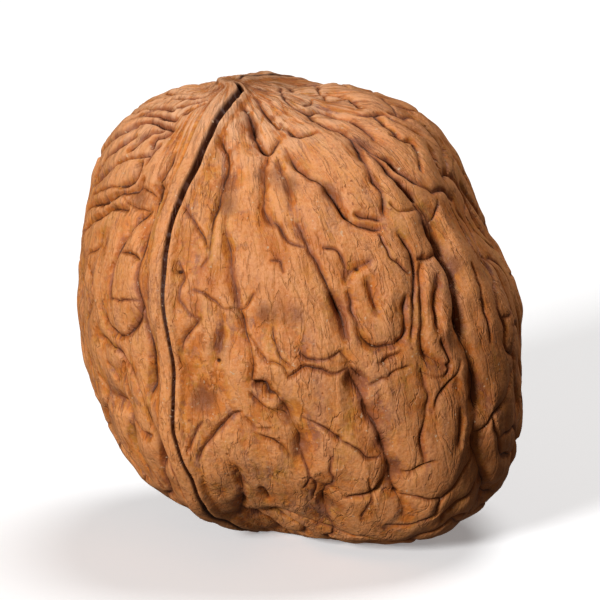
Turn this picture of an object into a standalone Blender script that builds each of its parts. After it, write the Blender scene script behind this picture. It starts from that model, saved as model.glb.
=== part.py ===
"""A whole walnut in its shell, standing on a small flat spot. One solid, in metres, +Z up.

The front of the nut faces -Y. Its furrows there are drawn by hand, as seen by someone who
stands in front of it and looks a little down. The rest of the shell has a seeded net of furrows.
"""

import math

import bpy
import numpy as np

MM = 0.001

# The nut as a whole
HALF_WIDTH = 17.6 * MM
HALF_DEPTH = 17.3 * MM
HALF_HEIGHT = 17.9 * MM
SQUARENESS = 2.25

# The viewer in front of the nut, who looks down by VIEW_RISE
VIEW_RISE = math.radians(15)
RIGHT = np.array((1.0, 0.0, 0.0))
FRONT = np.array((0.0, -math.cos(VIEW_RISE), math.sin(VIEW_RISE)))
UP = np.cross(FRONT, RIGHT)

# Bulges and hollows round the outline that the viewer sees.
# Each is its turn from +X in degrees, its height in millimetres and its half width in degrees.
SWELLS = (
    (132, 2.5, 28),
    (318, 2.6, 25),
    (28, -2.4, 21),
    (205, -0.6, 22),
    (257, -1.5, 17),
    (295, 0.7, 18),
)
SWELL_REACH = math.radians(50)
SWELL_FORWARD = 0.25

# The core runs from the stem end up to the tip, left of the middle, and the seam's plane holds it
CORE_OFFSET = -3.1 * MM
CORE_LEAN_FORWARD = math.radians(3.5)
CORE_LEAN_LEFT = math.radians(6)
SEAM_TURN = math.radians(-25)

# The seam: a raised keel all round the nut, with a fine gap along its crest
KEEL_HEIGHT = 0.9 * MM
KEEL_HALF_WIDTH = 1.7 * MM
SEAM_DEPTH = 1.2 * MM
SEAM_HALF_WIDTH = 0.75 * MM
SEAM_GAPE = 0.7 * MM
SEAM_GAPE_FROM = 6 * MM
SEAM_BOW = 0.6 * MM
SEAM_BOW_HEIGHT = 12.5 * MM
SEAM_BOW_LENGTH = 3 * MM
SEAM_WOBBLE = 0.15 * MM
TIP_HEIGHT = 0.5 * MM
TIP_RADIUS = 2.2 * MM

# Furrows drawn by hand on the front, as millimetres right of and above the nut's middle.
# Each kind is its depth, the reach of its rounded shoulders, and its lines.
MAIN_FURROWS = (
    1.15 * MM,
    1.5 * MM,
    (
        ((-4.8, 16.9), (-4.4, 15.5), (-3.8, 13.9), (-2.8, 12.6), (-2.1, 13.2)),
        ((-2.8, 12.6), (-2.7, 9.7), (-2.8, 8.1), (-2.4, 6.7)),
        ((-6.5, 13.2), (-5.8, 12.2), (-6.3, 10.5), (-6.5, 8.7), (-7.0, 6.2), (-7.6, 3.5)),
        ((-1.2, 12.9), (0.1, 11.1), (1.4, 10.1), (2.4, 8.8), (3.8, 7.5), (5.6, 6.5)),
        ((0.6, 15.2), (2.0, 14.4), (3.4, 13.7), (3.9, 13.1)),
        ((1.4, 15.9), (3.2, 15.4), (4.2, 14.9)),
        ((4.4, 11.5), (5.4, 10.5), (6.1, 9.2), (6.6, 7.2)),
        ((4.6, 12.7), (6.4, 11.2), (8.2, 9.5), (9.0, 8.5)),
        ((5.8, 12.5), (7.4, 11.2), (9.0, 10.2), (11.4, 8.7)),
        ((9.0, 8.2), (10.2, 6.6), (10.8, 5.2), (11.4, 3.1), (12.5, 0.2), (12.8, -1.0)),
        ((-2.4, 6.7), (-1.4, 6.1), (0.6, 5.1), (1.6, 2.7), (2.9, 0.5), (3.4, -2.0)),
        ((4.1, 3.2), (3.5, 2.1), (4.0, -0.8), (5.0, -2.6), (6.4, -3.1)),
        ((6.4, -3.1), (8.0, -2.6), (8.6, -0.6), (8.7, 1.9), (8.2, 5.1)),
        ((-6.2, 5.7), (-5.6, 3.5), (-5.2, 1.9)),
        ((9.4, 4.2), (11.0, 4.4)),
        ((-1.0, 14.2), (0.0, 13.6), (1.0, 13.7)),
        ((-14.4, 4.7), (-12.6, 4.0), (-12.2, 5.2)),
        ((-14.6, 4.2), (-15.0, 1.9), (-15.3, -0.4), (-14.8, -1.6)),
        ((-12.2, -0.6), (-11.7, -2.4), (-11.8, -6.4), (-11.2, -9.3), (-10.7, -11.2)),
        ((-16.4, 1.2), (-15.4, -0.8)),
        ((-16.2, -1.8), (-14.4, -3.4), (-13.6, -4.8)),
    ),
)
FINE_FURROWS = (
    0.85 * MM,
    1.2 * MM,
    (
        ((-8.6, 18.1), (-7.5, 17.2)),
        ((-4.6, 0.1), (-4.5, -1.4), (-3.6, -2.8), (-1.8, -4.8)),
        ((-4.2, -4.4), (-4.0, -5.6), (-3.2, -6.0), (-2.6, -7.0)),
        ((-10.4, 16.9), (-9.0, 16.8), (-7.2, 16.9)),
        ((-12.8, 15.4), (-11.2, 15.9), (-10.4, 15.7), (-8.6, 16.0)),
        ((-15.0, 14.1), (-13.2, 15.0), (-11.2, 15.1), (-10.0, 14.5)),
        ((-10.0, 14.4), (-11.0, 13.6), (-11.6, 12.7)),
        ((-14.6, 13.5), (-12.8, 14.6)),
        ((-14.4, 12.2), (-12.6, 13.5)),
        ((-16.4, 11.1), (-15.8, 12.5), (-14.6, 13.8)),
        ((-12.9, 11.1), (-14.0, 9.9), (-15.8, 8.8)),
        ((-11.0, 10.7), (-11.5, 8.7)),
        ((-9.4, 10.9), (-10.8, 8.5)),
        ((-12.8, 7.2), (-14.0, 5.9)),
        ((3.0, 17.1), (4.4, 16.4)),
        ((4.6, 16.1), (6.4, 15.5), (8.4, 14.6)),
        ((6.4, 14.2), (8.2, 13.4), (9.2, 11.7)),
        ((4.8, 14.7), (6.0, 13.4)),
        ((-1.2, 11.5), (-1.0, 9.5), (-0.6, 8.2)),
        ((-0.4, 6.9), (0.6, 5.1)),
        ((-8.5, 6.9), (-7.6, 5.5)),
        ((-7.6, 1.5), (-6.4, 0.2)),
        ((-8.1, -0.8), (-9.0, -1.8), (-9.3, -3.8)),
        ((7.6, 6.1), (8.8, 3.5)),
        ((-13.6, -1.6), (-12.6, -0.8), (-12.4, 3.7)),
        ((-7.4, -10.8), (-6.6, -9.6), (-5.4, -8.2)),
        ((-3.4, -9.8), (-1.8, -10.9)),
        ((2.0, -9.3), (3.1, -10.2)),
        ((9.8, -5.8), (9.4, -9.0), (9.2, -11.0)),
        ((-3.5, -14.0), (-2.6, -15.2)),
        ((-17.3, 1.9), (-16.9, -0.2)),
        ((-13.2, -7.0), (-12.8, -8.8)),
    ),
)
BROAD_FURROWS = (
    0.9 * MM,
    2.5 * MM,
    (
        ((3.8, -4.4), (5.1, -7.6), (6.5, -11.0), (7.6, -15.2)),
        ((-1.8, -6.8), (-0.6, -9.6), (-0.2, -11.8)),
        ((10.6, 3.2), (11.0, -1.4), (11.4, -4.4)),
        ((2.6, -12.6), (2.0, -15.8), (2.6, -17.6)),
        ((12.8, -1.6), (13.8, -4.8), (14.0, -8.2)),
        ((-14.2, -7.4), (-13.0, -10.6), (-11.2, -13.4)),
    ),
)
SHOULDER_ROUNDING = 0.1 * MM
LINE_END_STRENGTH = 0.4

# Round hollows on the front, at such places too
HOLLOW_DEPTH = 0.35 * MM
HOLLOW_RADIUS = 2.0 * MM
HOLLOWS = (
    (-7.6, -6.4),
    (10.8, 5.7),
    (7.6, -14.6),
    (0.0, -8.3),
    (-5.6, 2.7),
    (2.2, 3.5),
    (6.6, 3.2),
)

# The seeded net of furrows, full on the sides and the back and faint on the front
NET_SEED = 11
NET_CELLS_ROUND = 22
NET_CELLS_HIGH = 7
NET_JITTER = 0.8
NET_FLATTENING = 0.6
NET_DEPTH = 1.05 * MM
NET_REACH = 1.5 * MM
NET_WARP = 0.9 * MM
NET_WARP_LENGTH = 8 * MM
NET_EDGE = (math.radians(52), math.radians(70))
NET_FRONT_STRENGTH = 0.55
NET_TIP_STRENGTH = 0.35
NET_TIP_RADIUS = 12 * MM
NET_NEIGHBOURS = 5

# Broad unevenness: height and length of its waves
UNEVENNESS = ((0.25 * MM, 13 * MM), (0.14 * MM, 6 * MM))
WAVE_COUNT = 24

# The flat spot that the nut stands on, under its weight
FOOT_CENTRE = (0.4 * MM, 0.0)
FOOT_RADIUS = 2.8 * MM
FOOT_EDGE = 4.7 * MM
FOOT_DROP = 17.6 * MM

# Mesh
SPHERE_LEVEL = 8
SHELL_TRIANGLES = 11900
JOIN_POWER = 4

SHELL_COLOUR = (0.42, 0.19, 0.075, 1.0)


def unit(vectors):
    return vectors / np.linalg.norm(vectors, axis=-1, keepdims=True)


def smooth_step(value, low, high):
    part = np.clip((value - low) / (high - low), 0, 1)
    return part * part * (3 - 2 * part)


AXIS = unit(np.array((-math.tan(CORE_LEAN_LEFT), -math.tan(CORE_LEAN_FORWARD), 1)))
SEAM_WAY = math.cos(SEAM_TURN) * FRONT + math.sin(SEAM_TURN) * RIGHT
SEAM = unit(SEAM_WAY - AXIS * (SEAM_WAY @ AXIS))
CHEEK = np.cross(AXIS, SEAM)


def waves(points, length, seed):
    """Smooth seeded unevenness of the given length, mostly between -1 and 1."""
    draw = np.random.default_rng(seed)
    ways = unit(draw.normal(size=(WAVE_COUNT, 3)))
    starts = draw.uniform(0, 2 * math.pi, WAVE_COUNT)
    return np.sin(points @ ways.T * (2 * math.pi / length) + starts).sum(axis=1) / math.sqrt(WAVE_COUNT)


def plain_radius(ways):
    """How far the skin lies from the nut's middle along unit vectors, before any relief."""
    scaled = np.abs(ways) / (HALF_WIDTH, HALF_DEPTH, HALF_HEIGHT)
    radius = (scaled**SQUARENESS).sum(axis=1) ** (-1 / SQUARENESS)
    for turn, height, half_width in SWELLS:
        angle = math.radians(turn)
        outward = ways @ (math.cos(angle) * RIGHT + math.sin(angle) * UP)
        sideways = ways @ (math.cos(angle) * UP - math.sin(angle) * RIGHT)
        forward = ways @ FRONT - SWELL_FORWARD
        spread = (sideways / math.sin(math.radians(half_width))) ** 2 + (forward / math.sin(SWELL_REACH)) ** 2
        radius += height * MM * np.exp(-spread) * np.clip(outward, 0, 1) ** 2
    return radius


def lift(marks):
    """Points on the plain skin that the viewer sees at the given places, in millimetres."""
    flat = np.array(marks)[:, :1] * MM * RIGHT + np.array(marks)[:, 1:] * MM * UP
    depth = np.full(len(flat), HALF_DEPTH / 2)
    for _ in range(20):
        radius = plain_radius(unit(flat + depth[:, None] * FRONT))
        depth = np.sqrt(np.clip(radius**2 - (flat**2).sum(axis=1), MM**2, None))
    return flat + depth[:, None] * FRONT


def smooth_line(knots, steps=5):
    """A smooth line through the knots, straight on at both ends."""
    ends = np.vstack((2 * knots[0] - knots[1], knots, 2 * knots[-1] - knots[-2]))
    line = []
    for before, start, end, after in zip(ends, ends[1:], ends[2:], ends[3:]):
        for part in np.arange(steps) / steps:
            bend = (2 * before - 5 * start + 4 * end - after) * part**2
            twist = (3 * start - before - 3 * end + after) * part**3
            line.append((2 * start + (end - before) * part + bend + twist) / 2)
    return np.array(line + [knots[-1]])


def distance_to_line(points, line):
    """The distance from each point to the line, and how far along the line that is, from 0 to 1."""
    nearest = np.full(len(points), np.inf)
    along = np.zeros(len(points))
    for index, (start, end) in enumerate(zip(line, line[1:])):
        run = end - start
        part = np.clip((points - start) @ run / (run @ run), 0, 1)
        gap = np.linalg.norm(points - start - part[:, None] * run, axis=1)
        closer = gap < nearest
        nearest[closer] = gap[closer]
        along[closer] = (index + part[closer]) / (len(line) - 1)
    return nearest, along


def shoulder(gap, reach):
    """A furrow's depth, from 1 at its bottom to 0 at its reach, between rounded shoulders."""
    rounded = np.hypot(gap, SHOULDER_ROUNDING) - SHOULDER_ROUNDING
    return np.clip(1 - rounded / reach, 0, 1) ** 2


def drawn_furrows(points):
    """How deep the furrows drawn by hand go, summed as powers so that they join smoothly."""
    total = np.zeros(len(points))
    for depth, reach, lines in (MAIN_FURROWS, FINE_FURROWS, BROAD_FURROWS):
        for marks in lines:
            line = smooth_line(lift(marks))
            low = line.min(axis=0) - reach
            high = line.max(axis=0) + reach
            near = np.flatnonzero(((points > low) & (points < high)).all(axis=1))
            gap, along = distance_to_line(points[near], line)
            fade = smooth_step(np.minimum(along, 1 - along), -0.1, 0.3)
            fade = LINE_END_STRENGTH + (1 - LINE_END_STRENGTH) * fade
            total[near] += (depth * fade * shoulder(gap, reach)) ** JOIN_POWER
    return total


def hollows(points):
    """How deep the round hollows go."""
    depth = np.zeros(len(points))
    for centre in lift(HOLLOWS):
        depth += HOLLOW_DEPTH * np.exp(-((points - centre) ** 2).sum(axis=1) / HOLLOW_RADIUS**2)
    return depth


def net_seeds():
    """Seeds of the net's cells, a jittered grid round the core, in its unrolled space."""
    draw = np.random.default_rng(NET_SEED)
    rows, columns = np.divmod(np.arange(NET_CELLS_HIGH * NET_CELLS_ROUND), NET_CELLS_ROUND)
    jitter = draw.uniform(-NET_JITTER / 2, NET_JITTER / 2, size=(2, len(rows)))
    turn = (columns + rows % 2 / 2 + jitter[0]) / NET_CELLS_ROUND * 2 * math.pi
    rise = ((rows + 0.5 + jitter[1]) / NET_CELLS_HIGH - 0.5) * math.pi
    strengths = draw.uniform(size=(len(rows), len(rows)))
    return unrolled(turn, rise), np.maximum(strengths, strengths.T)


def unrolled(turn, rise):
    """A barrel round the core: cells on it narrow towards the tip and towards the stem end."""
    lean = np.cos(np.minimum(rise, 0)) ** 0.4
    height = NET_FLATTENING * HALF_HEIGHT * rise
    return np.stack((HALF_WIDTH * lean * np.cos(turn), HALF_WIDTH * lean * np.sin(turn), height), axis=1)


def net_furrows(points):
    """How deep the seeded net goes, as a sum of powers."""
    from_core = points - CORE_OFFSET * RIGHT
    turn = np.arctan2(from_core @ CHEEK, from_core @ SEAM)
    rise = np.arctan2(from_core @ AXIS, np.hypot(from_core @ CHEEK, from_core @ SEAM))
    warp = [waves(points, NET_WARP_LENGTH, NET_SEED + side) for side in (1, 2, 3)]
    places = unrolled(turn, rise) + NET_WARP * np.stack(warp, axis=1)
    seeds, strengths = net_seeds()
    total = np.zeros(len(points))
    for block in np.array_split(np.arange(len(points)), 40):
        square = ((places[block, None] - seeds) ** 2).sum(axis=2)
        nearest = np.argsort(square, axis=1)[:, :NET_NEIGHBOURS]
        own = nearest[:, 0]
        own_square = np.take_along_axis(square, nearest[:, :1], axis=1)[:, 0]
        for other in nearest[:, 1:].T:
            apart = np.linalg.norm(seeds[other] - seeds[own], axis=1)
            gap = (square[np.arange(len(block)), other] - own_square) / (2 * apart)
            depth = NET_DEPTH * smooth_step(strengths[own, other], 0.15, 0.75)
            total[block] += (depth * shoulder(gap, NET_REACH)) ** JOIN_POWER
    hidden = smooth_step(np.arccos(np.clip(unit(points) @ FRONT, -1, 1)), *NET_EDGE)
    off_axis = np.hypot(from_core @ CHEEK, from_core @ SEAM)
    strength = NET_FRONT_STRENGTH + (1 - NET_FRONT_STRENGTH) * hidden
    strength *= NET_TIP_STRENGTH + (1 - NET_TIP_STRENGTH) * smooth_step(off_axis, 0, NET_TIP_RADIUS)
    return total * strength**JOIN_POWER


def seam_relief(points):
    """The keel with its gap and the tip, and how far the furrows reach up to them."""
    from_core = points - CORE_OFFSET * RIGHT
    height = from_core @ AXIS
    bow = SEAM_BOW * np.exp(-(((height - SEAM_BOW_HEIGHT) / SEAM_BOW_LENGTH) ** 2)) * (from_core @ SEAM > 0)
    wobble = SEAM_WOBBLE * waves(points, NET_WARP_LENGTH, NET_SEED + 4)
    off_seam = np.abs(from_core @ CHEEK - bow + wobble)
    gape = smooth_step(height, SEAM_GAPE_FROM, HALF_HEIGHT) * (from_core @ SEAM > 0)
    keel = KEEL_HEIGHT * np.exp(-((off_seam / KEEL_HALF_WIDTH) ** 2))
    gap = (SEAM_DEPTH + SEAM_GAPE * gape) * np.clip(1 - off_seam / (SEAM_HALF_WIDTH * (1 + gape)), 0, 1)
    off_axis = np.hypot(from_core @ CHEEK, from_core @ SEAM)
    tip = TIP_HEIGHT * np.exp(-((off_axis / TIP_RADIUS) ** 2)) * (height > 0)
    return keel - gap + tip, smooth_step(off_seam, KEEL_HALF_WIDTH * 0.3, KEEL_HALF_WIDTH)


def relief(points):
    """Height of the shell's relief at points on the plain skin."""
    height, clear_of_seam = seam_relief(points)
    for seed, (size, length) in enumerate(UNEVENNESS):
        height += size * waves(points, length, NET_SEED + 10 + seed)
    drop = (drawn_furrows(points) + net_furrows(points)) ** (1 / JOIN_POWER) + hollows(points)
    return height - drop * clear_of_seam


def stand_flat(points):
    """Levels the underside round the foot, and lets nothing reach below it."""
    off_foot = np.linalg.norm(points[:, :2] - FOOT_CENTRE, axis=1)
    level = (1 - smooth_step(off_foot, FOOT_RADIUS, FOOT_EDGE)) * (points[:, 2] < 0)
    points[:, 2] += level * (-FOOT_DROP - points[:, 2])
    points[:, 2] = np.maximum(points[:, 2], -FOOT_DROP)
    return points


def shell_material():
    material = bpy.data.materials.new("walnut_shell")
    material.use_nodes = True
    shader = material.node_tree.nodes["Principled BSDF"]
    shader.inputs["Base Color"].default_value = SHELL_COLOUR
    shader.inputs["Roughness"].default_value = 0.55
    shader.inputs["Metallic"].default_value = 0.0
    return material


def shape_shell(mesh):
    """Moves a unit sphere's points out to the shell's skin."""
    ways = np.empty(3 * len(mesh.vertices))
    mesh.vertices.foreach_get("co", ways)
    ways = unit(ways.reshape(-1, 3))
    skin = ways * plain_radius(ways)[:, None]
    points = stand_flat(skin + ways * relief(skin)[:, None])
    mesh.vertices.foreach_set("co", points.ravel())
    mesh.update()


def thinned(shell):
    """The shell's mesh with its triangles gathered where the relief is."""
    thin = shell.modifiers.new("thin", "DECIMATE")
    thin.ratio = SHELL_TRIANGLES / len(shell.data.polygons)
    depsgraph = bpy.context.evaluated_depsgraph_get()
    mesh = bpy.data.meshes.new_from_object(shell.evaluated_get(depsgraph))
    shell.modifiers.remove(thin)
    return mesh


def centre_on_ground(mesh):
    """Puts the middle of the nut's box on the Z axis and its flat spot, levelled again, at Z = 0."""
    points = np.empty(3 * len(mesh.vertices))
    mesh.vertices.foreach_get("co", points)
    points = stand_flat(points.reshape(-1, 3))
    low = points.min(axis=0)
    high = points.max(axis=0)
    points -= ((low[0] + high[0]) / 2, (low[1] + high[1]) / 2, low[2])
    mesh.vertices.foreach_set("co", points.ravel())
    mesh.update()


def build_walnut():
    for thing in list(bpy.data.objects):
        bpy.data.objects.remove(thing)
    walnut = bpy.data.collections.new("walnut")
    bpy.context.scene.collection.children.link(walnut)

    bpy.ops.mesh.primitive_ico_sphere_add(subdivisions=SPHERE_LEVEL, radius=1)
    shell = bpy.context.object
    shell.name = "shell"
    for collection in list(shell.users_collection):
        collection.objects.unlink(shell)
    walnut.objects.link(shell)

    shape_shell(shell.data)
    shell.data = thinned(shell)
    shell.data.name = "shell"
    centre_on_ground(shell.data)
    shell.data.shade_smooth()
    shell.data.materials.clear()
    shell.data.materials.append(shell_material())


build_walnut()
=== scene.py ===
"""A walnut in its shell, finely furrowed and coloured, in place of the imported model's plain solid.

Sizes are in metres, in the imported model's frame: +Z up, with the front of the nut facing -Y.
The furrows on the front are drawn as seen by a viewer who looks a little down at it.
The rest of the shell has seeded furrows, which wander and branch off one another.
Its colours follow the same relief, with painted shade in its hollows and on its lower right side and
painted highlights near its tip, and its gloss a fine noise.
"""

import math

import bpy
import numpy as np
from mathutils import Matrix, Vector


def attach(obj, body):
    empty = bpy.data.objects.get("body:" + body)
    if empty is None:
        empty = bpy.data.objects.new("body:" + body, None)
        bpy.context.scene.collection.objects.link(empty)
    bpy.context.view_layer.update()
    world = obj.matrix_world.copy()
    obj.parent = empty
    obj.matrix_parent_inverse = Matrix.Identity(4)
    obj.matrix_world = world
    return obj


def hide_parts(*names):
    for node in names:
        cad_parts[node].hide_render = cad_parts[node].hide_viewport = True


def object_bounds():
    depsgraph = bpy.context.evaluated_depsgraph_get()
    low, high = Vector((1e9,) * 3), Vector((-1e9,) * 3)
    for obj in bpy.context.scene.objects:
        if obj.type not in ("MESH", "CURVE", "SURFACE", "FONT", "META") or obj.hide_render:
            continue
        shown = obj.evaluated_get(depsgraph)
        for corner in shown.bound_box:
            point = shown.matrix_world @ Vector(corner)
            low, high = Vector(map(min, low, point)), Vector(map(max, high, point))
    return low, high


MM = 0.001

# The nut as a whole
HALF_WIDTH = 17.6 * MM
HALF_DEPTH = 17.3 * MM
HALF_HEIGHT = 17.9 * MM
SQUARENESS = 2.25

# The viewer in front of the nut, who looks down by VIEW_RISE
VIEW_RISE = math.radians(15)
RIGHT = np.array((1.0, 0.0, 0.0))
FRONT = np.array((0.0, -math.cos(VIEW_RISE), math.sin(VIEW_RISE)))
UP = np.cross(FRONT, RIGHT)

# How often the depth of a place that the viewer sees is worked out again, to find it on the skin
LIFT_ROUNDS = 20

# Bulges and hollows round the outline that the viewer sees.
# Each is its turn from +X in degrees, its height in millimetres and its half width in degrees.
# It reaches SWELL_REACH to its front and back, from a middle that lies a little forward.
SWELLS = (
    (132, 2.5, 28),
    (318, 2.6, 25),
    (28, -2.4, 21),
    (205, -0.6, 22),
    (257, -1.5, 17),
    (295, 0.7, 18),
)
SWELL_REACH = math.radians(50)
SWELL_FORWARD = 0.25

# The core runs from the stem end up to the tip, left of the middle, and the seam's plane holds it
CORE_OFFSET = -3.1 * MM
CORE_LEAN_FORWARD = math.radians(3.5)
CORE_LEAN_LEFT = math.radians(6)
SEAM_TURN = math.radians(-25)

# The seam: a raised keel all round the nut, with a fine gap along it between two lips.
# Each lip is its height and its outer edge, which is right of the gap where positive.
KEEL_HEIGHT = 0.55 * MM
KEEL_HALF_WIDTH = 1.7 * MM
KEEL_SHIFT = 0.5 * MM
LIPS = ((0.28 * MM, -1.5 * MM), (0.2 * MM, 0.75 * MM))
LIP_SLOPE = 0.35 * MM
SEAM_DEPTH = 0.6 * MM
SEAM_HALF_WIDTH = 0.16 * MM
SEAM_GAPE = 0.4 * MM
SEAM_GAPE_WIDTH = 0.9
SEAM_GAPE_FROM = 5 * MM
SEAM_WOBBLE = 0.15 * MM
SEAM_WOBBLE_LENGTH = 8 * MM

# Furrows fade out towards the keel, between these distances from halfway between its crest and gap
SEAM_CLEARANCE = (0.55 * MM, 1.0 * MM)

# How far the seam strays right of its plane on the front, by the height up the core
SEAM_STRAY = (
    (-18, 0.0),
    (-13, -0.65),
    (-11, -0.1),
    (-8, 0.3),
    (-4, -0.2),
    (2, 0.3),
    (6, 0.0),
    (11, -0.05),
    (13, 0.4),
    (15, 0.85),
    (17.6, 1.4),
)
SEAM_STRAY_FROM = 2 * MM

# The tip and the scar at the stem end. The painted highlight on the crests near the tip, and the scar,
# fade between two distances from the core.
TIP_HEIGHT = 0.5 * MM
TIP_RADIUS = 2.2 * MM
TIP_PAINTED_HIGHLIGHT = (5 * MM, 14 * MM)
STEM_SCAR = (1.2 * MM, 3.0 * MM)

# Lips and gap begin between these distances from the core
SEAM_START = (0.3 * MM, 1.4 * MM)

# Small ribs that fan out from the tip
RIB_COUNT = 30
RIB_HEIGHT = 0.09 * MM
RIB_ROUNDNESS = 0.6
RIB_MEAN = 0.7
RIB_WOBBLE = 0.1
RIB_WOBBLE_LENGTH = 7 * MM
RIB_FROM = (1.0 * MM, 3.5 * MM)
RIB_TO = (8.0 * MM, 13.0 * MM)

# A furrow has three layers, from its wide valley to the crack at its bottom. Each is a power of
# the way to its edge, and a power of what is left: the valleys are round and the crack is sharp.
# Each kind gives the depth and the reach to either side of its layers.
LAYER_SHAPES = ((2, 2), (2, 2), (1, 1))
DEEP_KIND = ((0.30 * MM, 0.40 * MM, 0.22 * MM), (1.5 * MM, 0.55 * MM, 0.22 * MM))
MAIN_KIND = ((0.23 * MM, 0.23 * MM, 0.13 * MM), (1.5 * MM, 0.50 * MM, 0.14 * MM))
FINE_KIND = ((0.08 * MM, 0.17 * MM, 0.11 * MM), (1.0 * MM, 0.36 * MM, 0.12 * MM))
BROAD_KIND = ((0.62 * MM, 0.24 * MM, 0.10 * MM), (2.2 * MM, 0.90 * MM, 0.15 * MM))
SOFT_KIND = ((0.17 * MM, 0.28 * MM, 0.08 * MM), (1.1 * MM, 0.55 * MM, 0.13 * MM))
FAN_KIND = ((0.10 * MM, 0.32 * MM, 0.16 * MM), (0.8 * MM, 0.40 * MM, 0.14 * MM))
CRACK_KIND = ((0.0 * MM, 0.10 * MM, 0.09 * MM), (0.8 * MM, 0.30 * MM, 0.10 * MM))
JOIN_POWER = 4

# How hard a furrow is cut: this changes along it, and is less towards its ends
PRESSURE = 0.95
PRESSURE_CHANGE = 0.25
PRESSURE_LENGTH = 2.5 * MM
LINE_END_STRENGTH = 0.5
LINE_END_FADE = (-0.05, 0.15)

# A crack's darkness goes by the distance from its middle, in half widths of the crack.
# One that is shallower than FULL_CRACK is fainter, as if it were up to FAINTNESS further off.
FULL_CRACK = 0.14 * MM
FAINTNESS = 1.0
FAR_FROM_CRACKS = 30

# Furrows on the front, as millimetres right of and above the nut's middle.
# Most of the deep lines are stretches of main ones.
DEEP_LINES = (
    ((-12.2, -0.2), (-12.0, -1.4), (-11.8, -2.6), (-11.7, -4.0), (-11.7, -5.4), (-11.9, -6.5)),
    ((-11.4, -9.3), (-11.0, -10.2), (-10.8, -11.0), (-10.8, -12.1)),
    ((4.8, -6.9), (5.2, -8.0), (5.6, -8.9), (6.0, -9.7), (6.4, -10.6), (6.7, -11.6)),
    ((-3.6, -5.6), (-2.9, -5.8), (-2.6, -6.5), (-2.1, -6.8)),
    ((9.8, 7.0), (10.5, 5.7), (11.0, 4.8), (11.6, 3.6)),
    ((6.9, 11.8), (7.6, 11.1), (8.4, 10.5), (9.1, 10.1)),
    ((7.4, 10.2), (8.4, 9.3), (9.0, 8.7)),
    ((-4.2, 15.3), (-3.7, 14.1), (-3.3, 13.1), (-2.8, 12.6), (-2.2, 13.0)),
    ((1.9, 9.8), (2.5, 8.7), (3.0, 8.0), (3.8, 7.4)),
    ((2.2, 1.4), (2.8, 0.4), (3.2, -0.5), (3.5, -1.9)),
    ((12.3, 1.3), (12.6, 0.3), (12.8, -0.9), (13.1, -2.4)),
    ((-11.0, 10.1), (-11.2, 9.5), (-11.5, 8.6)),
)
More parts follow.
